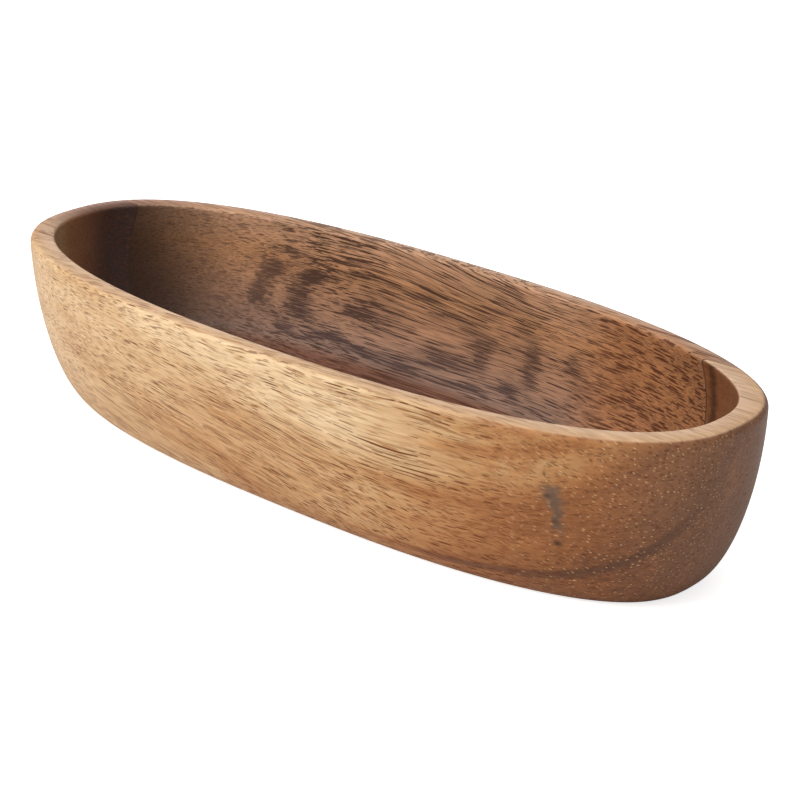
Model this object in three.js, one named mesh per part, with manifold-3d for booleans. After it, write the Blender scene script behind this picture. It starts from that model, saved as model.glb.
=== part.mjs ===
// Boat-shaped wooden serving tray, carved from a blank of two boards that are glued edge to edge.
// Millimetres, +Z up, +X along the tray, origin at the middle of the foot. The back is towards +Y.
import * as THREE from "three";
import { mergeVertices } from "three/addons/utils/BufferGeometryUtils.js";
import Module from "manifold-3d";

// Overall size, over the rim
const LENGTH = 300;
const WIDTH = 112;
const HEIGHT = 60;

// Thickness of the wall at the rim, on the long axis and on the short one, and of the floor
const WALL_END = 9;
const WALL_SIDE = 6.6;
const FLOOR = 9;

// Rounding of the rim's two edges; the land between them is flat
const RIM_ROUND_OUTER = 2.4;
const RIM_ROUND_INNER = 1.2;

// How far the flat foot stands in from the rim's outline, and the hollow's flat floor from its mouth
const FOOT_INSET_END = 19.7;
const FOOT_INSET_SIDE = 16.7;
const HOLLOW_INSET_END = 27;
const HOLLOW_INSET_SIDE = 20;

// The back board's thickness in the middle of the back rim, and the film of glue in front of it.
// The film runs aslant along the tray, nearer the back at the +X end, and its top leans back.
const BACK_BOARD = 27.6;
const GLUE_FILM = 0.2;
const GLUE_SLANT_DEG = 3.6;
const GLUE_LEAN_DEG = 15;

// Exponents of the superellipses: 2 is an ellipse, and more is squarer.
// The outlines are seen from above, and a wall's curve from the side, as it falls and as it runs in.
const OUTER_OUTLINE_EXPONENT = 2.49;
const INNER_OUTLINE_EXPONENT = 2.38;
const FALL_EXPONENT = 1.79;
const RUN_EXPONENT = 1.83;

// Facets round the tray, up each wall, and round each edge of the rim
const SIDES = 96;
const WALL_STEPS = 12;
const ROUND_STEPS = 3;

const QUARTER_TURN = Math.PI / 2;

const mixed = (from, to, share) => from + (to - from) * share;

// A ring lies at height z, with its end and side that far in from the overall outline.
const ring = (end, side, z, outline) => ({ end, side, z, outline });

// The rings of a wall that curves from a flat bottom up to an upright top, without the top ring.
function wallRings(bottom, top) {
  const rings = [];
  for (let i = 0; i < WALL_STEPS; i++) {
    const angle = QUARTER_TURN * (1 - i / WALL_STEPS);
    const fallen = Math.sin(angle) ** (2 / FALL_EXPONENT);
    const runIn = i === 0 ? 1 : 1 - Math.cos(angle) ** (2 / RUN_EXPONENT);
    rings.push(
      ring(
        mixed(top.end, bottom.end, runIn),
        mixed(top.side, bottom.side, runIn),
        mixed(top.z, bottom.z, fallen),
        top.outline,
      ),
    );
  }
  return rings;
}

// The rings of a quarter-round edge, from the wall up to the land; inward is 1 on the outer edge.
function edgeRings(wallTop, radius, inward) {
  const rings = [];
  for (let i = 0; i <= ROUND_STEPS; i++) {
    const angle = (QUARTER_TURN * i) / ROUND_STEPS;
    const shift = inward * radius * (1 - Math.cos(angle));
    rings.push(
      ring(
        wallTop.end + shift,
        wallTop.side + shift,
        wallTop.z + radius * Math.sin(angle),
        wallTop.outline,
      ),
    );
  }
  return rings;
}

// All rings in order: up the outside from the foot, over the rim, and down the hollow to its floor.
function trayRings() {
  const outerTop = ring(0, 0, HEIGHT - RIM_ROUND_OUTER, OUTER_OUTLINE_EXPONENT);
  const foot = ring(FOOT_INSET_END, FOOT_INSET_SIDE, 0, OUTER_OUTLINE_EXPONENT);
  const innerTop = ring(WALL_END, WALL_SIDE, HEIGHT - RIM_ROUND_INNER, INNER_OUTLINE_EXPONENT);
  const hollowFloor = ring(
    WALL_END + HOLLOW_INSET_END,
    WALL_SIDE + HOLLOW_INSET_SIDE,
    FLOOR,
    INNER_OUTLINE_EXPONENT,
  );
  return [
    ...wallRings(foot, outerTop),
    ...edgeRings(outerTop, RIM_ROUND_OUTER, 1),
    ...edgeRings(innerTop, RIM_ROUND_INNER, -1).reverse(),
    ...wallRings(hollowFloor, innerTop).reverse(),
  ];
}

// The point of a ring at an angle, on its superellipse.
function ringPoint({ end, side, z, outline }, angle) {
  const along = Math.cos(angle);
  const across = Math.sin(angle);
  const power = 2 / outline;
  return [
    Math.sign(along) * (LENGTH / 2 - end) * Math.abs(along) ** power,
    Math.sign(across) * (WIDTH / 2 - side) * Math.abs(across) ** power,
    z,
  ];
}

// The whole carved tray as one closed skin, before it is parted into its boards.
function trayGeometry() {
  const rings = trayRings();
  const points = [];
  for (const each of rings)
    for (let i = 0; i < SIDES; i++) points.push(...ringPoint(each, (2 * Math.PI * i) / SIDES));
  const footMiddle = points.length / 3;
  points.push(0, 0, 0);
  const floorMiddle = footMiddle + 1;
  points.push(0, 0, FLOOR);

  const triangles = [];
  const last = (rings.length - 1) * SIDES;
  for (let i = 0; i < SIDES; i++) {
    const next = (i + 1) % SIDES;
    triangles.push(footMiddle, next, i);
    triangles.push(floorMiddle, last + i, last + next);
    for (let start = 0; start < last; start += SIDES) {
      const above = start + SIDES;
      triangles.push(start + i, start + next, above + next);
      triangles.push(start + i, above + next, above + i);
    }
  }
  return new THREE.BufferGeometry()
    .setAttribute("position", new THREE.Float32BufferAttribute(points, 3))
    .setIndex(triangles);
}

// The flat slab that the glue film fills, running the tray's full length and height.
function glueSlabGeometry() {
  const slab = new THREE.BoxGeometry(2 * LENGTH, GLUE_FILM, 3 * HEIGHT);
  slab.rotateX(-THREE.MathUtils.degToRad(GLUE_LEAN_DEG));
  slab.rotateZ(THREE.MathUtils.degToRad(GLUE_SLANT_DEG));
  return slab.translate(0, WIDTH / 2 - BACK_BOARD, HEIGHT);
}

const wasm = await Module();
wasm.setup();

function solidOf(geometry) {
  const bare = geometry.clone();
  bare.deleteAttribute("normal");
  bare.deleteAttribute("uv");
  const merged = mergeVertices(bare);
  return new wasm.Manifold(
    new wasm.Mesh({
      numProp: 3,
      vertProperties: merged.getAttribute("position").array,
      triVerts: new Uint32Array(merged.index.array),
    }),
  );
}

function meshOf(name, solid, material) {
  const { vertProperties, triVerts } = solid.getMesh();
  const geometry = new THREE.BufferGeometry()
    .setAttribute("position", new THREE.BufferAttribute(vertProperties, 3))
    .setIndex(new THREE.BufferAttribute(triVerts, 1));
  geometry.computeVertexNormals();
  const mesh = new THREE.Mesh(geometry, material);
  mesh.name = name;
  return mesh;
}

// The middle of a solid across the tray, which tells the front board from the back one.
function middleAcross(solid) {
  const { min, max } = solid.boundingBox();
  return (min[1] + max[1]) / 2;
}

const wood = (color) => new THREE.MeshStandardMaterial({ color, roughness: 0.42, metalness: 0 });
const glue = new THREE.MeshStandardMaterial({ color: 0x3b271b, roughness: 0.5, metalness: 0 });

const carved = solidOf(trayGeometry());
const slab = solidOf(glueSlabGeometry());
const [frontBoard, backBoard] = carved
  .subtract(slab)
  .decompose()
  .sort((a, b) => middleAcross(a) - middleAcross(b));

const tray = new THREE.Group();
tray.add(meshOf("front_board", frontBoard, wood(0xb98450)));
tray.add(meshOf("back_board", backBoard, wood(0x8f6140)));
tray.add(meshOf("glue_line", carved.intersect(slab), glue));

export default tray;
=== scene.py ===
"""A deep, boat-shaped oval tray of oiled acacia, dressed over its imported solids. Metres, +Z up."""

import math
from collections import namedtuple

import bmesh
import bpy
import numpy as np
from mathutils import Matrix, Vector


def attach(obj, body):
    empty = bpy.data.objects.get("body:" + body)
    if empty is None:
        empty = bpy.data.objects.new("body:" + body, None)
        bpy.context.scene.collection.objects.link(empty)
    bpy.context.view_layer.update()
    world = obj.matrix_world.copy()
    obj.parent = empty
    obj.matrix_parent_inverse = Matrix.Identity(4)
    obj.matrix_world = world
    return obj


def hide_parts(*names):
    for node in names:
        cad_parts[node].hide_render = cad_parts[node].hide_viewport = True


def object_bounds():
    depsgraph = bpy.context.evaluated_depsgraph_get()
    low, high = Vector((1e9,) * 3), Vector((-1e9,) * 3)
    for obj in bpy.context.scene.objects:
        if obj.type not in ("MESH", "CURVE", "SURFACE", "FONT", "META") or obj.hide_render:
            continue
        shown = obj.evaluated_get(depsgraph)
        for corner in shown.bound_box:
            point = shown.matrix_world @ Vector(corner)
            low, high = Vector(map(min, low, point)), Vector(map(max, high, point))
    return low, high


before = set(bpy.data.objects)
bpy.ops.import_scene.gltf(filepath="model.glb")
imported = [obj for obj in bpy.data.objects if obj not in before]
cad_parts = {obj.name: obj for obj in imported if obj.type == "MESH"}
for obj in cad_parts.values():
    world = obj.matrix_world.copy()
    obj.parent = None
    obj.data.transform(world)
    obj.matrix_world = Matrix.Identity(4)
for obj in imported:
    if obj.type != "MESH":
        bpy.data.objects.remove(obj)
cad_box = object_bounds()

# Overall size, from the frame
LENGTH, WIDTH, HEIGHT = cad_box[1] - cad_box[0]

# The carved shape, as in the solids: walls at the rim, floor, roundings and insets
WALL_END = 0.009
WALL_SIDE = 0.0066
FLOOR = 0.009
RIM_ROUND_OUTER = 0.0024
RIM_ROUND_INNER = 0.0012
FOOT_INSET_END = 0.0197
FOOT_INSET_SIDE = 0.0167
HOLLOW_INSET_END = 0.027
HOLLOW_INSET_SIDE = 0.020
OUTER_OUTLINE_EXPONENT = 2.49
INNER_OUTLINE_EXPONENT = 2.38
FALL_EXPONENT = 1.79
RUN_EXPONENT = 1.83

# The glued joint between the boards, as in the solids
BACK_BOARD = 0.0276
GLUE_FILM = 0.0002
GLUE_SLANT = math.radians(3.6)
GLUE_LEAN = math.radians(15)

# Facets of the fine surface
SIDES = 480
WALL_STEPS = 44
ROUND_STEPS = 8
LAND_MARGIN = 0.0003
SHARP_ANGLE = math.radians(35)

# The camera of the photograph: where it looks from, how far away it is, and where it points
CAMERA_AZIMUTH = math.radians(42.15)
CAMERA_ELEVATION = math.radians(22.58)
CAMERA_ROLL = math.radians(0.33)
CAMERA_DISTANCE = 0.7721
AIM_RIGHT = 0.0115
AIM_UP = -0.0041
LENS = 103.7
SENSOR = 36.0

QUARTER_TURN = math.pi / 2

# Millimetres in a metre; the materials work in millimetres
MM = 1000

# How deep the pores are sunk in the materials' relief
RELIEF_DEPTH = 0.00012

# Half the studio floor's width, its colour, its glow as the camera sees it, and the world's light
FLOOR_REACH = 6.0
FLOOR_COLOR = (0.9, 0.9, 0.9, 1)
FLOOR_GLOW = 0.74
WORLD_LIGHT = 0.43
WHITE = (1, 1, 1, 1)

Ring = namedtuple("Ring", "end side height exponent")


# The carved shape

def mixed(low, high, share):
    return low + (high - low) * share


def wall_rings(bottom, top):
    """Rings of a wall that curves from a flat bottom to an upright top, without the top ring."""
    rings = []
    for step in range(WALL_STEPS):
        angle = QUARTER_TURN * (1 - step / WALL_STEPS)
        fallen = math.sin(angle) ** (2 / FALL_EXPONENT)
        run_in = 1 - max(math.cos(angle), 0) ** (2 / RUN_EXPONENT)
        rings.append(Ring(
            mixed(top.end, bottom.end, run_in),
            mixed(top.side, bottom.side, run_in),
            mixed(top.height, bottom.height, fallen),
            top.exponent,
        ))
    return rings


def edge_rings(wall_top, radius, inward):
    """Rings of a quarter round from the wall's top to the land, and one just past it on the land."""
    rings = []
    for step in range(ROUND_STEPS + 1):
        angle = QUARTER_TURN * step / ROUND_STEPS
        shift = inward * radius * (1 - math.cos(angle))
        height = wall_top.height + radius * math.sin(angle)
        rings.append(Ring(wall_top.end + shift, wall_top.side + shift, height, wall_top.exponent))
    last = rings[-1]
    margin = inward * LAND_MARGIN
    rings.append(Ring(last.end + margin, last.side + margin, last.height, last.exponent))
    return rings


def tray_rings():
    """All rings in order: up the outside from the foot, over the rim, and down into the hollow."""
    outer_top = Ring(0, 0, HEIGHT - RIM_ROUND_OUTER, OUTER_OUTLINE_EXPONENT)
    foot = Ring(FOOT_INSET_END, FOOT_INSET_SIDE, 0, OUTER_OUTLINE_EXPONENT)
    inner_top = Ring(WALL_END, WALL_SIDE, HEIGHT - RIM_ROUND_INNER, INNER_OUTLINE_EXPONENT)
    hollow_floor = Ring(
        WALL_END + HOLLOW_INSET_END,
        WALL_SIDE + HOLLOW_INSET_SIDE,
        FLOOR,
        INNER_OUTLINE_EXPONENT,
    )
    return [
        *wall_rings(foot, outer_top),
        *edge_rings(outer_top, RIM_ROUND_OUTER, 1),
        *reversed(edge_rings(inner_top, RIM_ROUND_INNER, -1)),
        *reversed(wall_rings(hollow_floor, inner_top)),
    ]


def ring_points(ring):
    """The points of a ring, evenly spread by angle round its superellipse."""
    angles = np.arange(SIDES) * (2 * math.pi / SIDES)
    along = np.cos(angles)
    across = np.sin(angles)
    power = 2 / ring.exponent
    x = np.sign(along) * (LENGTH / 2 - ring.end) * np.abs(along) ** power
    y = np.sign(across) * (WIDTH / 2 - ring.side) * np.abs(across) ** power
    return np.column_stack([x, y, np.full(SIDES, ring.height)])


def carved_tray():
    """The whole tray as one closed skin, before it is parted into its boards."""
    rings = tray_rings()
    points = np.vstack([ring_points(ring) for ring in rings])
    last = (len(rings) - 1) * SIDES
    faces = []
    for start in range(0, last, SIDES):
        above = start + SIDES
        for i in range(SIDES):
            following = (i + 1) % SIDES
            faces.append((start + i, start + following, above + following, above + i))
    faces.append(tuple(range(SIDES - 1, -1, -1)))
    faces.append(tuple(range(last, last + SIDES)))
    skin = bmesh.new()
    for point in points:
        skin.verts.new(point)
    skin.verts.ensure_lookup_table()
    for face in faces:
        skin.faces.new([skin.verts[i] for i in face])
    foot_and_hollow_floor = skin.faces[-2:]
    for flat_face in foot_and_hollow_floor:
        bmesh.ops.poke(skin, faces=[flat_face])
    return skin


def joint_normal():
    """The direction from the front board to the back board, square to the joint."""
    return Matrix.Rotation(GLUE_SLANT, 3, "Z") @ Matrix.Rotation(-GLUE_LEAN, 3, "X") @ Vector((0, 1, 0))


def joint_middle():
    """The middle of the joint's upper edge."""
    return Vector((0, WIDTH / 2 - BACK_BOARD, HEIGHT))


def cut_off(skin, offset, keep_front):
    """Cuts the skin along the joint, that far behind its middle plane, and closes the cut."""
    cut = bmesh.ops.bisect_plane(
        skin,
        geom=[*skin.verts, *skin.edges, *skin.faces],
        plane_co=joint_middle() + joint_normal() * offset,
        plane_no=joint_normal(),
        clear_outer=keep_front,
        clear_inner=not keep_front,
    )
    edges = [item for item in cut["geom_cut"] if isinstance(item, bmesh.types.BMEdge)]
    bmesh.ops.holes_fill(skin, edges=edges, sides=0)


def tray_piece(name, node, material, cuts):
    """One piece of the tray: the carved skin cut along the joint, standing for its solid."""
    skin = carved_tray()
    for offset, keep_front in cuts:
        cut_off(skin, offset, keep_front)
    bmesh.ops.recalc_face_normals(skin, faces=skin.faces)
    mesh = bpy.data.meshes.new(name)
    skin.to_mesh(mesh)
    skin.free()
    mesh.shade_smooth()
    mesh.set_sharp_from_angle(angle=SHARP_ANGLE)
    mesh.materials.append(material)
    piece = bpy.data.objects.new(name, mesh)
    bpy.context.scene.collection.objects.link(piece)
    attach(piece, "root")
    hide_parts(node)
    return piece


# Arithmetic for materials

class Term:
    """A number, place or colour that a material works out at each point of a surface.

    Plain arithmetic on terms adds Math nodes to the material.
    """

    def __init__(self, tree, socket):
        self.tree = tree
        self.socket = socket

    def __add__(self, other):
        return calc("ADD", self, other)

    def __sub__(self, other):
        return calc("SUBTRACT", self, other)

    def __rsub__(self, other):
        return calc("SUBTRACT", other, self)

    def __mul__(self, other):
        return calc("MULTIPLY", self, other)

    def __truediv__(self, other):
        return calc("DIVIDE", self, other)

    __radd__ = __add__
    __rmul__ = __mul__


def add_node(kind, values, settings=None):
    """Adds a node, with its settings, and its inputs set to numbers or joined to terms."""
    tree = next(value.tree for value in values.values() if isinstance(value, Term))
    node = tree.nodes.new(kind)
    for name, setting in (settings or {}).items():
        setattr(node, name, setting)
    for key, value in values.items():
        if isinstance(value, Term):
            tree.links.new(value.socket, node.inputs[key])
        else:
            node.inputs[key].default_value = value
    return node


def calc(operation, *numbers):
    node = add_node("ShaderNodeMath", dict(enumerate(numbers)), {"operation": operation})
    return Term(node.id_data, node.outputs[0])


def place_at(x, y, z):
    node = add_node("ShaderNodeCombineXYZ", {"X": x, "Y": y, "Z": z})
    return Term(node.id_data, node.outputs[0])


def noise(place, detail):
    """Smooth noise from 0 to 1, with lumps about one unit across."""
    values = {"Vector": place, "Scale": 1.0, "Detail": detail, "Roughness": 0.5}
    node = add_node("ShaderNodeTexNoise", values)
    return Term(node.id_data, node.outputs["Fac"])


def flat_cells(across, up):
    """Distance to the nearest of points scattered one to a unit square, and that point's chance."""
    values = {"Vector": place_at(across, up, 0), "Scale": 1.0}
    node = add_node("ShaderNodeTexVoronoi", values, {"voronoi_dimensions": "2D"})
    chance = add_node("ShaderNodeSeparateColor", {0: Term(node.id_data, node.outputs["Color"])})
    return Term(node.id_data, node.outputs["Distance"]), Term(node.id_data, chance.outputs[0])


def step_up(value, low, high, bottom=0.0, top=1.0):
    """Goes smoothly from bottom to top as the value goes from low to high."""
    values = {"Value": value, "From Min": low, "From Max": high, "To Min": bottom, "To Max": top}
    node = add_node("ShaderNodeMapRange", values, {"interpolation_type": "SMOOTHSTEP"})
    return Term(node.id_data, node.outputs["Result"])


def near(value, middle, reach):
    """1 where the value is at the middle, and smoothly 0 from that far off it."""
    return step_up(calc("ABSOLUTE", value - middle), reach, 0.0)


def blended(share, first, second):
    """The first colour with that share of the second over it."""
    node = add_node("ShaderNodeMix", {0: share, 6: first, 7: second}, {"data_type": "RGBA"})
    return Term(node.id_data, node.outputs[2])


def scaled_color(color, factor):
    node = add_node("ShaderNodeVectorMath", {0: color, "Scale": factor}, {"operation": "SCALE"})
    return Term(node.id_data, node.outputs[0])


def stained(share, color, tint):
    """The colour under that share of a tint, as under a thin stain."""
    settings = {"data_type": "RGBA", "blend_type": "MULTIPLY"}
    node = add_node("ShaderNodeMix", {0: share, 6: color, 7: tint}, settings)
    return Term(node.id_data, node.outputs[2])


def shade(red, green, blue):
    """A colour given as a screen shows it, from 0 to 255."""
    def linear(level):
        level /= 255
        return level / 12.92 if level <= 0.04045 else ((level + 0.055) / 1.055) ** 2.4
    return (linear(red), linear(green), linear(blue), 1.0)


def ramp(value, stops):
    """A colour that passes through the stops, given as (value from 0 to 1, colour)."""
    node = add_node("ShaderNodeValToRGB", {0: value})
    elements = node.color_ramp.elements
    while len(elements) < len(stops):
        elements.new(1.0)
    for element, (position, color) in zip(elements, stops):
        element.position = position
        element.color = color
    return Term(node.id_data, node.outputs["Color"])


def new_material(name):
    """An empty material, its shader, and the place of a point in millimetres as three terms."""
    material = bpy.data.materials.new(name)
    material.use_nodes = True
    tree = material.node_tree
    shader = tree.nodes["Principled BSDF"]
    coordinates = tree.nodes.new("ShaderNodeTexCoord")
    parts = add_node("ShaderNodeSeparateXYZ", {0: Term(tree, coordinates.outputs["Object"])})
    place = [Term(tree, parts.outputs[axis]) * MM for axis in "XYZ"]
    return material, shader, place


# The rim, the walls and the joint, as the materials find them

# Millimetres below the rim's flat land at which its pale colour starts, and is whole
LAND_COLOR_START = 0.6
LAND_COLOR_WHOLE = 0.08

# Half sizes of the oval along the land's inner edge, in millimetres
LAND_HALF_LENGTH = (LENGTH / 2 - WALL_END + RIM_ROUND_INNER) * MM
LAND_HALF_WIDTH = (WIDTH / 2 - WALL_SIDE + RIM_ROUND_INNER) * MM

# Half sizes of the oval along the middle of the walls at the rim, in millimetres, and how it
# draws in below the rim, as a share of the depth's square
WALL_HALF_LENGTH = (LENGTH - WALL_END) / 2 * MM
WALL_HALF_WIDTH = (WIDTH - WALL_SIDE) / 2 * MM
DRAWN_IN_AT_ENDS = 0.00636
DRAWN_IN_AT_SIDES = 0.0053


def on_land(z):
    """1 on the rim's flat land, which is drawn paler."""
    return step_up(z, HEIGHT * MM - LAND_COLOR_START, HEIGHT * MM - LAND_COLOR_WHOLE)


def oval(x, y, half_length, half_width):
    """1 on an oval of the tray's outline with those half sizes, less inside it and more outside."""
    along = calc("POWER", calc("ABSOLUTE", x) / half_length, OUTER_OUTLINE_EXPONENT)
    across = calc("POWER", calc("ABSOLUTE", y) / half_width, OUTER_OUTLINE_EXPONENT)
    return along + across


def toward_hollow(x, y):
    """From 0 at the outer edge of the rim's flat land to 1 at its inner edge."""
    return step_up(oval(x, y, LAND_HALF_LENGTH, LAND_HALF_WIDTH), 1.11, 1.0)


def in_hollow(x, y, z):
    """1 on the hollow's side of the walls, and 0 on their outside."""
    depth = HEIGHT * MM - z
    half_length = WALL_HALF_LENGTH - depth * depth * DRAWN_IN_AT_ENDS
    half_width = WALL_HALF_WIDTH - depth * depth * DRAWN_IN_AT_SIDES
    return step_up(oval(x, y, half_length, half_width), 1.04, 0.96)


def before_joint(x, y, z):
    """How far in front of the glued joint a point is, in millimetres."""
    normal = joint_normal()
    middle = joint_middle() * MM
    return (middle.x - x) * normal.x + (middle.y - y) * normal.y + (middle.z - z) * normal.z


# Grain, in millimetres

# How far places across the boards are drawn together in fibres and in vessels, which keeps both
# long where the walls slope
FIBRES_DRAWN = 0.5
VESSELS_DRAWN = 0.4


def stretched(x, y, z, along, across, seed):
    """A place for noise whose lumps are that long along the grain and that wide across it."""
    return place_at(x / along + seed, y / across, z / across)


def unevenness(x, y, z, along, across, seed, detail=2.0):
    """Noise with such lumps, from about -0.3 to 0.3."""
    return noise(stretched(x, y, z, along, across, seed), detail) - 0.5


def swayed(x, y, z, reach, seed):
    """The place across the grain, where the fibres sway sideways and up by up to that reach."""
    sideways = unevenness(x, y, z, 85, 38, seed)
    upward = unevenness(x, y, z, 70, 34, seed + 9)
    return y + sideways * reach, z + upward * reach


def pores(x, y, z, spacing, width, length, seed):
    """Broken vessels along the grain: 1 inside one, and each one's own chance."""
    distance, chance = flat_cells(y / spacing + seed, z / spacing)
    radius = width / spacing / 2
    inside = step_up(distance, radius * 1.15, radius * 0.8)
    own_noise = noise(place_at(x / length + chance * 50, chance * 30, seed), 1.0)
    unbroken = step_up(own_noise, 0.42, 0.5)
    return inside * unbroken, chance


def darkest(*terms):
    """The largest of some shares of darkness, at each point."""
    largest, *others = terms
    for other in others:
        largest = calc("MAXIMUM", largest, other)
    return largest


# The front board

# From the pale sapwood, at 0, to the darkest heartwood
FRONT_TONES = (
    (0.0, shade(230, 198, 156)),
    (0.12, shade(218, 181, 136)),
    (0.27, shade(206, 164, 117)),
    (0.4, shade(192, 142, 93)),
    (0.55, shade(178, 122, 75)),
    (0.7, shade(163, 106, 62)),
    (0.85, shade(148, 94, 56)),
    (1.0, shade(124, 79, 51)),
)

# The rim's flat land: paler toward its inner edge as a painted highlight, and near the left joint mauve
# wood, darker inward as painted shade
FRONT_LAND_OUTER = shade(215, 176, 138)
FRONT_LAND_INNER_HIGHLIGHT = shade(222, 188, 158)
FRONT_MAUVE_OUTER = shade(186, 150, 136)
FRONT_MAUVE_INNER_SHADE = shade(112, 80, 66)

# Dark core and ends of the front board, painted shade in the hollow's left end, its vessels, and its
# mineral stain
NARROW_CORE = shade(58, 38, 28)
BROAD_CORE = shade(50, 45, 49)
HOLLOW_END_SHADE = shade(128, 100, 80)
GREYED_TIP = shade(132, 104, 86)
DARK_RING = shade(66, 50, 42)
GROOVE = shade(128, 78, 40)
FIBRE_STAIN = (0.66, 0.5, 0.36, 1.0)
FRONT_VESSEL = shade(102, 46, 8)
OPEN_END = shade(78, 46, 28)
FILLED_END = shade(222, 178, 130)
SMUDGE = shade(96, 82, 70)
STAIN_SPECK = shade(44, 32, 24)

# The direction in which the tree grew outward here, from its pith
FRONT_OUTWARD = Vector((0.098, -0.85, 0.526))

# Growth lines that show: how far out from the pith in millimetres, their reach and their darkness
FRONT_RINGS = (
    (76.3, 2.0, 0.1),
    (65.4, 1.6, 0.09),
    (46.3, 2.2, 0.45),
)
DARK_RING_GROWTH = 46.8

# Dark specks of the stain: middle and reach along and up in millimetres, and strength
STAIN_SPECKS = (
    (113.2, 23.3, 2.2, 2.0, 1.4),
    (113.0, 31.0, 1.8, 1.6, 0.5),
    (111.6, 39.6, 2.2, 1.3, 0.5),
    (110.8, 47.0, 0.8, 1.4, 0.5),
)


def front_wood():
    """Golden sapwood over brown heartwood, with a dark core beside the joint."""
    material, shader, (x, y, z) = new_material("front_wood")
    growth = front_growth(x, y, z)
    fibre_y, fibre_z = front_fibre(x, y, z)
    streak = unevenness(x, fibre_y, fibre_z, 45, 1.6, seed=1, detail=4.0)
    fibre = unevenness(x, fibre_y * FIBRES_DRAWN, fibre_z, 10, 0.7, seed=5)
    patch = unevenness(x, fibre_y, fibre_z, 60, 12, seed=11)
    distance = before_joint(x, y, z) + streak * 5
    land = on_land(z)

    color = ramp(front_tone(x, growth, distance, streak, patch), FRONT_TONES)
    color = with_core_and_shade(color, x, y, z, distance, streak)
    color = blended(land * 0.9, color, front_land(x, y, distance))

    grain = (fibre + streak * 0.4) * step_up(x, -120, -20, 0.6, 1.0)
    calmer = step_up(x, 75, 120, 1.0, 0.45)
    color = scaled_color(color, step_up(grain, 0.0, 0.3, 1.0, 1.2))
    color = stained(step_up(grain, 0.02, -0.28) * calmer, color, FIBRE_STAIN)
    furrow = unevenness(x, fibre_y * VESSELS_DRAWN, fibre_z, 14, 0.5, seed=29) + patch * 0.2
    color = blended(step_up(furrow, 0.06, 0.14) * calmer * 0.42, color, GROOVE)
    color = blended(step_up(x, 120, 148) * (1 - land) * 0.35, color, GREYED_TIP)
    ring = near(growth + streak * 4, DARK_RING_GROWTH, 2.6)
    color = blended(ring * step_up(x, 88, 122) * step_up(z, 44, 24) * 0.42, color, DARK_RING)

    vessels = front_vessels(x, fibre_y, fibre_z, z)
    color = blended(vessels * 0.92, color, FRONT_VESSEL)
    open_ends, filled_ends = end_specks(x, y, z)
    color = blended(open_ends, color, OPEN_END)
    color = blended(filled_ends, color, FILLED_END)
    smudge, stain_specks = stain_on_front(x, y, z, streak)
    color = blended(smudge, color, SMUDGE)
    color = blended(stain_specks, color, STAIN_SPECK)
    finish(material, shader, color, vessels, fibre, gloss=0.2)
    return material


def front_growth(x, y, z):
    """How far out from the pith a point of the front board is, in millimetres."""
    sway_y, sway_z = swayed(x, y, z, 3.5, seed=3)
    return sway_z * FRONT_OUTWARD.z + sway_y * FRONT_OUTWARD.y + x * FRONT_OUTWARD.x


def front_fibre(x, y, z):
    """The place across the grain, whose fibres fall toward the right end, and less so near the rim."""
    run = step_up(x, -150, 110, -95, 75)
    sideways = run * step_up(z, 20, 42, 0.08, -0.14) + unevenness(x, y, z, 60, 20, seed=7) * 5
    upward = run * (0.28 - z * 0.0047) + unevenness(x, y, z, 45, 16, seed=13) * 4
    return y + sideways, z + upward


def front_tone(x, growth, distance, streak, patch):
    """From 0 in the pale sapwood to 1 in the darkest heartwood."""
    ragged = growth + streak * 6 + patch * 3
    inward = step_up(ragged, 72, 65, 0.0, 0.24) + step_up(ragged, 64, 44, 0.0, 0.14)
    inward = inward * step_up(x, -110, 10, 0.35, 1.0)
    toward_end = step_up(x, 20, 145, 0.0, 0.59)
    heart = step_up(distance, 36, 18) * step_up(x, -90, 90, 0.7, 0.15)
    lines = 0
    for middle, reach, darkness in FRONT_RINGS:
        lines = near(growth, middle, reach) * darkness + lines
    return inward + toward_end + heart + lines * step_up(x, 30, 75) + streak * 0.5 + patch * 0.4


def with_core_and_shade(color, x, y, z, distance, streak):
    """The colour under the dark core beside the joint, broad at the left end and narrow at the right,
    and under painted shade in the hollow's left end.
    """
    narrow = near(before_joint(x, y, z) + streak * 1.5, 2.3, 2.0) * step_up(x, -20, 60) * 0.8
    broad = step_up(distance, 26, 7) * step_up(x, 0, -90) * 0.92
    # Painted shade in the hollow's left end, on the hollow's side only
    end_shade = in_hollow(x, y, z) * step_up(x, -80, -125) * (1 - broad) * 0.6
    color = blended(narrow, color, NARROW_CORE)
    color = blended(broad, color, BROAD_CORE)
    return blended(end_shade, color, HOLLOW_END_SHADE)


def front_land(x, y, distance):
    """The pale colour of the front board's rim, paler inward as a painted highlight, and mauve near the
    left joint, darker inward as painted shade.
    """
    inward = toward_hollow(x, y)
    color = blended(inward * 0.75, FRONT_LAND_OUTER, FRONT_LAND_INNER_HIGHLIGHT)
    beside_joint = step_up(distance, 52, 12) * step_up(x, -60, -110)
    return blended(beside_joint, color, blended(inward, FRONT_MAUVE_OUTER, FRONT_MAUVE_INNER_SHADE))


def front_vessels(x, fibre_y, fibre_z, z):
    """Small and large vessels, which crowd low on the wall and thin out toward both ends."""
    band = unevenness(x, fibre_y, fibre_z, 50, 6, seed=19)
    crowded = step_up(z, 44, 28, 0.3, 0.62) + step_up(band, -0.18, 0.18, -0.25, 0.3)
    drawn_y = fibre_y * VESSELS_DRAWN
    hole, chance = pores(x, drawn_y, fibre_z, 0.55, 0.3, 5, seed=17)
    small = hole * step_up(chance, 0.75 - crowded, 0.85 - crowded) * 0.7
    hole, chance = pores(x, drawn_y, fibre_z, 1.1, 0.36, 8, seed=37)
    large = hole * step_up(chance, 0.85 - crowded, 0.95 - crowded)
    thinned = step_up(x, 75, 115, 1.0, 0.55) * step_up(x, -145, -70, 0.6, 1.0)
    return darkest(small, large) * thinned * (1 - on_land(z) * 0.35)


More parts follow.
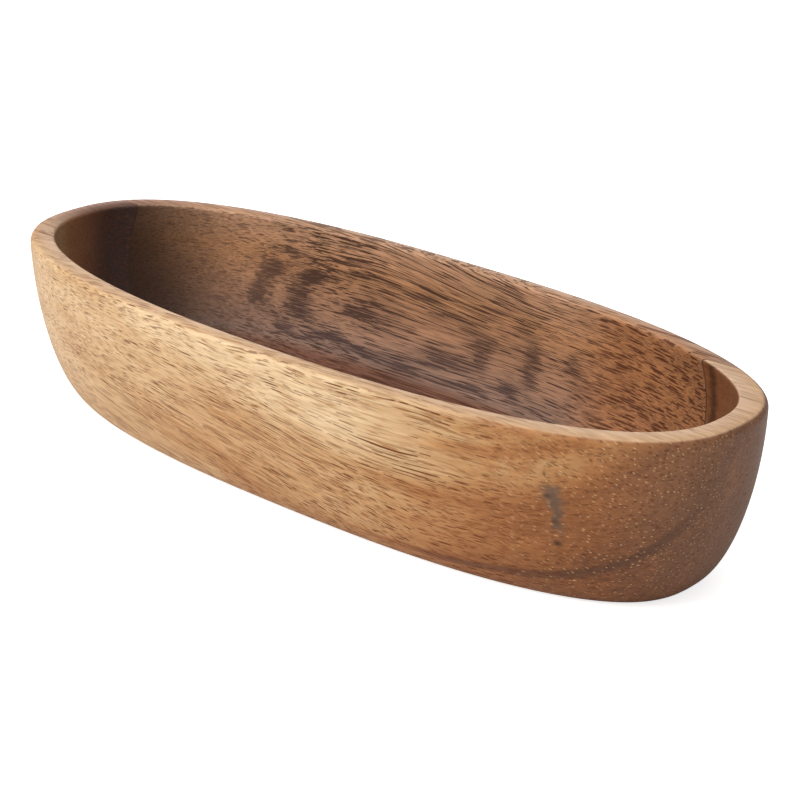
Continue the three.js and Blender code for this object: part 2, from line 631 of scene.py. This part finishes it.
def end_specks(x, y, z):
    """Cut vessels where the right end crosses the grain: open dark ones, and ones filled pale."""
    slanted = z + x * 0.45
    outside = (1 - in_hollow(x, y, z)) * (1 - on_land(z))
    on_end = step_up(x, 78, 112) * step_up(y, 25, -26) * outside
    open_hole, open_chance = pores(x, y * 0.6, slanted, 0.9, 0.5, 2, seed=31)
    dark = open_hole * step_up(open_chance, 0.2, 0.7) * on_end * 0.55
    filled_hole, filled_chance = pores(x, y * 0.8, slanted, 1.0, 0.4, 1.6, seed=23)
    pale = filled_hole * step_up(filled_chance, 0.25, 1.0) * on_end * 0.7
    return dark, pale


def stain_on_front(x, y, z, streak):
    """Mineral stain near the right end: a grey smudge, and dark specks in it, above and below."""
    outside = step_up(y, -36, -40)
    ragged = unevenness(x, y, z, 2.5, 2.5, seed=67)
    reach = step_up(z, 33, 39, 2.0, 4.2)
    middle = step_up(z, 35, 42, 113.8, 112.4)
    across = near((x - middle + streak * 3 + ragged * 4) / reach, 0, 1.2)
    smudge = across * step_up(z + ragged * 5, 24, 30) * step_up(z + ragged * 4, 45, 41.5) * 0.8
    specks = 0
    for along, up, reach_along, reach_up, strength in STAIN_SPECKS:
        specks = near(x, along, reach_along) * near(z, up, reach_up) * strength + specks
    return smudge * outside, specks * outside


# The back board

# From the foot, at 0, to the rim, with painted light low on the wall
BACK_TONES_SHEEN_AND_SHADE = (
    # Painted shade and the near wall's warm reflection, dark red-brown, just above the floor
    (0.22, shade(114, 62, 32)),
    (0.265, shade(120, 71, 42)),
    # Painted sheen, greyer, low on the far wall
    (0.31, shade(148, 115, 96)),
    (0.6, shade(177, 131, 99)),
    (0.78, shade(190, 139, 98)),
    (0.95, shade(200, 154, 120)),
)

# Other colours of the back board: wood, its rim's land, its vessels, and its left end's darker wood and
# painted shade
BACK_RIGHT_END = shade(170, 114, 72)
CROWDED_WOOD = shade(82, 62, 58)
# The rim's land and its mauve near the left joint, darker toward the inner edge as painted shade
BACK_LAND_OUTER = shade(214, 178, 154)
BACK_LAND_INNER_SHADE = shade(196, 148, 112)
BACK_MAUVE_OUTER = shade(172, 136, 124)
BACK_MAUVE_INNER_SHADE = shade(124, 90, 76)
VESSEL_HIGH = shade(64, 40, 30)
# Vessels under the painted sheen, and in the painted shade just above the floor
VESSEL_UNDER_SHEEN = shade(70, 50, 48)
VESSEL_IN_LOW_SHADE = shade(80, 44, 24)
VESSEL_RIGHT = shade(88, 44, 20)
# Darker wood at the hollow's left end, with painted shade over it
LEFT_END_WOOD_AND_SHADE = shade(58, 38, 26)

# The growth rings bow round a level line: its height, how wide the bow is, the rings' slant along
# the tray, and how far behind the tray's middle the ring numbered 0 is
RINGS_HEIGHT = 16.5
RINGS_BOW = 124
RINGS_SLANT = 0.055
RINGS_BACK = 44.6

# Rings that show: their number, reach and darkness
BACK_RINGS = (
    (1.3, 0.36, 1.0),
    (1.95, 0.32, 0.9),
    (2.6, 0.28, 0.55),
    (3.25, 0.28, 0.4),
)

# Where dark vessels crowd on the hollow's far wall: middle and reach along and up, in millimetres
CROWDED_PLACES = (
    (-86, 42, 8, 7),
    (-90, 32, 6, 9),
    (-77, 49, 12, 2.5),
    (-67, 42, 10, 5),
    (-71, 32, 8, 10),
    (-76, 22, 8, 2.5),
    (-58, 22.5, 12, 2.5),
    (-40, 20.5, 17, 2.5),
    (-20, 20, 17, 3),
    (-42, 33, 18, 3.4),
    (-16, 45, 10, 2.2),
    (-10, 40, 10, 2.5),
    (-7, 27, 12, 6),
    (5, 26, 8, 4),
    (13, 30, 5, 8),
    (12, 36, 8, 3),
    (15, 48, 13, 2.2),
    (28, 45, 8, 4),
    (34, 39, 6, 7),
    (35, 31, 6, 8),
    (28, 23, 8, 4),
    (14, 20, 9, 2.2),
    (52, 38, 6, 6),
)


def back_wood():
    """Warm brown heartwood whose growth rings close into ovals on the hollow's far wall."""
    material, shader, (x, y, z) = new_material("back_wood")
    sway_y, sway_z = swayed(x, y, z, 3, seed=31)
    fibre_z = sway_z + step_up(x, -50, 40, 0, 11) * step_up(z, 22, 60)
    streak = unevenness(x, sway_y, fibre_z, 16, 0.8, seed=41, detail=3.0)
    fibre = unevenness(x, sway_y, fibre_z, 10, 0.6, seed=45)
    patch = unevenness(x, sway_y, fibre_z, 50, 10, seed=47)
    left = step_up(x, -85, -115)
    right = step_up(x, 45, 75)
    land = on_land(z)
    ring = back_growth(x, (y + sway_y) * 0.5, z) + streak * 0.5 + patch * 0.4
    crowd = crowding(x + streak * 6, z, ring, left, right)

    # The ramp by height carries painted shade and painted sheen low on the wall
    color = blended(right * 0.85, ramp(z / (HEIGHT * MM), BACK_TONES_SHEEN_AND_SHADE), BACK_RIGHT_END)
    color = scaled_color(color, step_up(patch * 0.6 + fibre, -0.3, 0.3, 0.72, 1.26))
    greyed = crowd * step_up(x, -45, -20, 0.55, 0.35) * step_up(z, 14, 20)
    color = blended(greyed, color, CROWDED_WOOD)
    color = blended(land * 0.68, color, back_land(x, y))

    dark = back_vessels(x, sway_y, fibre_z, z, crowd, left, right) * (1 - land * 0.25)
    depth = step_up(x, -60, -115, 0.92, 0.45) - crowd * 0.1
    color = blended(dark * depth, color, vessel_tint(x, z, right))
    # Painted shade at the hollow's left end over darker wood: deeper lower down, and mostly on the
    # hollow's side
    at_left_end = step_up(x + z * 0.35, -75, -122) * (1 - land)
    end_wood_and_shade = at_left_end * step_up(in_hollow(x, y, z), 0, 1, 0.3, 0.93)
    color = blended(end_wood_and_shade, color, LEFT_END_WOOD_AND_SHADE)
    # Darker toward the right end, partly wood and partly painted shade
    color = scaled_color(color, step_up(x, 85, 135, 1.0, 0.65))
    finish(material, shader, color, dark, fibre, gloss=0.25)
    return material


def back_growth(x, y, z):
    """The number of the growth ring that a point of the back board is in."""
    bow = z - RINGS_HEIGHT
    growth = bow * bow / RINGS_BOW - y + x * RINGS_SLANT + RINGS_BACK
    return growth / calc("POWER", calc("ABSOLUTE", growth) + 0.05, 0.5)


def crowding(x, z, ring, left, right):
    """From 0 to 1 where dark vessels crowd, along the growth rings and in the crowded places."""
    rings = step_up(ring, 0.5, 0.2)
    for number, reach, darkness in BACK_RINGS:
        rings = rings + near(ring, number, reach) * darkness
    rings = rings * (1 - left * 0.9) * (1 - right * 0.6)
    places = 0
    for along, up, reach_along, reach_up in CROWDED_PLACES:
        places = near(x, along, reach_along) * near(z, up, reach_up) + places
    return calc("MINIMUM", rings * 0.4 + calc("MINIMUM", places, 1.0) * 0.9, 1.0)


def back_land(x, y):
    """The pale colour of the back board's rim, darker inward as painted shade, and mauve near the left
    joint, also darker inward as painted shade.
    """
    inward = toward_hollow(x, y)
    color = blended(inward, BACK_LAND_OUTER, BACK_LAND_INNER_SHADE)
    mauve = blended(inward, BACK_MAUVE_OUTER, BACK_MAUVE_INNER_SHADE)
    return blended(step_up(x, -108, -132) * 0.85, color, mauve)


def back_vessels(x, sway_y, fibre_z, z, crowd, left, right):
    """1 in the dark vessels and strokes: short at the ends, and long where the vessels crowd."""
    lined = step_up(z, 41, 47) * step_up(x, -85, -60) * step_up(x, 50, 25)
    share = 0.16 + crowd * 0.65 + left * 0.4 + lined * 0.4
    hole, chance = pores(x, sway_y * FIBRES_DRAWN, fibre_z, 1.15, 0.66, 14, seed=53)
    vessels = hole * step_up(chance, 1.0 - share, 1.1 - share)
    hole, chance = pores(x, sway_y * FIBRES_DRAWN, fibre_z, 1.1, 0.78, 12, seed=71)
    woven = hole * step_up(chance, 0.1, 0.2) * right
    lines = crowd * step_up(x, -55, -30, 0.17, 0.12) + lined * 0.03
    drawn_y = sway_y * VESSELS_DRAWN
    broad = unevenness(x, drawn_y, fibre_z, 17, 0.42, seed=59) + lines
    thin = unevenness(x, drawn_y, fibre_z, 28, 0.34, seed=83, detail=1.0) + lines * 0.5
    return darkest(vessels, woven, step_up(broad, 0.1, 0.14), step_up(thin, 0.13, 0.16))


def vessel_tint(x, z, right):
    """The colour of the back board's vessels, greyer under a painted sheen low on the wall, and
    red-brown in painted shade and warm reflection just above the floor.
    """
    tint = blended(step_up(z, 34, 22), VESSEL_HIGH, VESSEL_UNDER_SHEEN)
    tint = blended(step_up(z, 20, 16) * step_up(x, -100, -80), tint, VESSEL_IN_LOW_SHADE)
    return blended(right, tint, VESSEL_RIGHT)


# The glue and the finish

def glue():
    """The dark film in the joint, no wider than a pen line."""
    material, shader, (x, y, z) = new_material("glue")
    grain = noise(stretched(x, y, z, 6, 0.8, seed=61), 3.0)
    color = blended(grain, shade(34, 24, 19), shade(56, 39, 29))
    shader.inputs["Roughness"].default_value = 0.45
    material.node_tree.links.new(color.socket, shader.inputs["Base Color"])
    return material


def finish(material, shader, color, hollowness, fibre, gloss):
    """Satin oil over the wood: the pores are sunk and duller, and the fibres show as fine relief."""
    links = material.node_tree.links
    links.new(color.socket, shader.inputs["Base Color"])
    roughness = step_up(hollowness + fibre * 0.5, -0.2, 1.0, 0.4, 0.65)
    links.new(roughness.socket, shader.inputs["Roughness"])
    relief = fibre * 0.12 - hollowness
    bump = add_node("ShaderNodeBump", {"Height": relief, "Strength": 0.5, "Distance": RELIEF_DEPTH})
    links.new(bump.outputs[0], shader.inputs["Normal"])
    shader.inputs["Specular IOR Level"].default_value = gloss


# The studio

def add_floor():
    """A wide, pale floor. The camera sees it nearly white, and it keeps the tray's shadow."""
    mesh = bpy.data.meshes.new("floor")
    sides = [(-1, -1), (1, -1), (1, 1), (-1, 1)]
    corners = [(x * FLOOR_REACH, y * FLOOR_REACH, 0) for x, y in sides]
    mesh.from_pydata(corners, [], [(0, 1, 2, 3)])
    floor = bpy.data.objects.new("floor", mesh)
    bpy.context.scene.collection.objects.link(floor)
    material = bpy.data.materials.new("floor")
    material.use_nodes = True
    tree = material.node_tree
    shader = tree.nodes["Principled BSDF"]
    shader.inputs["Base Color"].default_value = FLOOR_COLOR
    shader.inputs["Roughness"].default_value = 0.9
    shader.inputs["Specular IOR Level"].default_value = 0.0
    shader.inputs["Emission Color"].default_value = WHITE
    rays = tree.nodes.new("ShaderNodeLightPath")
    seen = Term(tree, rays.outputs["Is Camera Ray"]) * FLOOR_GLOW
    tree.links.new(seen.socket, shader.inputs["Emission Strength"])
    mesh.materials.append(material)


def add_softbox(name, toward, distance, size, power):
    """A square softbox in that direction from the tray, facing it."""
    lamp = bpy.data.lights.new(name, "AREA")
    lamp.shape = "SQUARE"
    lamp.size = size
    lamp.energy = power
    softbox = bpy.data.objects.new(name, lamp)
    direction = Vector(toward).normalized()
    softbox.location = direction * distance
    softbox.rotation_mode = "QUATERNION"
    softbox.rotation_quaternion = direction.to_track_quat("Z", "Y")
    bpy.context.scene.collection.objects.link(softbox)


def add_lights():
    add_softbox("key", toward=(-0.4, -0.8, 0.8), distance=1.6, size=1.2, power=18.0)
    add_softbox("overhead", toward=(0.1, 0.1, 1.0), distance=1.6, size=1.2, power=5.0)
    world = bpy.data.worlds.new("studio")
    world.use_nodes = True
    tree = world.node_tree
    backdrop = tree.nodes["Background"]
    backdrop.inputs["Color"].default_value = WHITE
    rays = tree.nodes.new("ShaderNodeLightPath")
    strength = step_up(Term(tree, rays.outputs["Is Camera Ray"]), 0.0, 1.0, WORLD_LIGHT, 1.0)
    tree.links.new(strength.socket, backdrop.inputs["Strength"])
    bpy.context.scene.world = world


def add_camera():
    """The camera of the photograph, pointed at a spot beside the middle of the tray."""
    sin_az, cos_az = math.sin(CAMERA_AZIMUTH), math.cos(CAMERA_AZIMUTH)
    sin_el, cos_el = math.sin(CAMERA_ELEVATION), math.cos(CAMERA_ELEVATION)
    back = Vector((sin_az * cos_el, -cos_az * cos_el, sin_el))
    right = Vector((cos_az, sin_az, 0))
    up = back.cross(right)
    target = Vector((0, 0, HEIGHT / 2)) + right * AIM_RIGHT + up * AIM_UP
    rolled = Matrix.Rotation(CAMERA_ROLL, 3, back)
    turn = Matrix((rolled @ right, rolled @ up, back)).transposed()
    lens = bpy.data.cameras.new("camera")
    lens.sensor_width = SENSOR
    lens.lens = LENS
    camera = bpy.data.objects.new("camera", lens)
    camera.matrix_world = Matrix.Translation(target + back * CAMERA_DISTANCE) @ turn.to_4x4()
    bpy.context.scene.collection.objects.link(camera)
    bpy.context.scene.camera = camera


add_camera()
half_film = GLUE_FILM / 2
tray_piece("front_board_wood", "front_board", front_wood(), [(-half_film, True)])
tray_piece("back_board_wood", "back_board", back_wood(), [(half_film, False)])
tray_piece("glue_film", "glue_line", glue(), [(half_film, True), (-half_film, False)])
add_floor()
add_lights()
bpy.context.scene.view_settings.view_transform = "Standard"
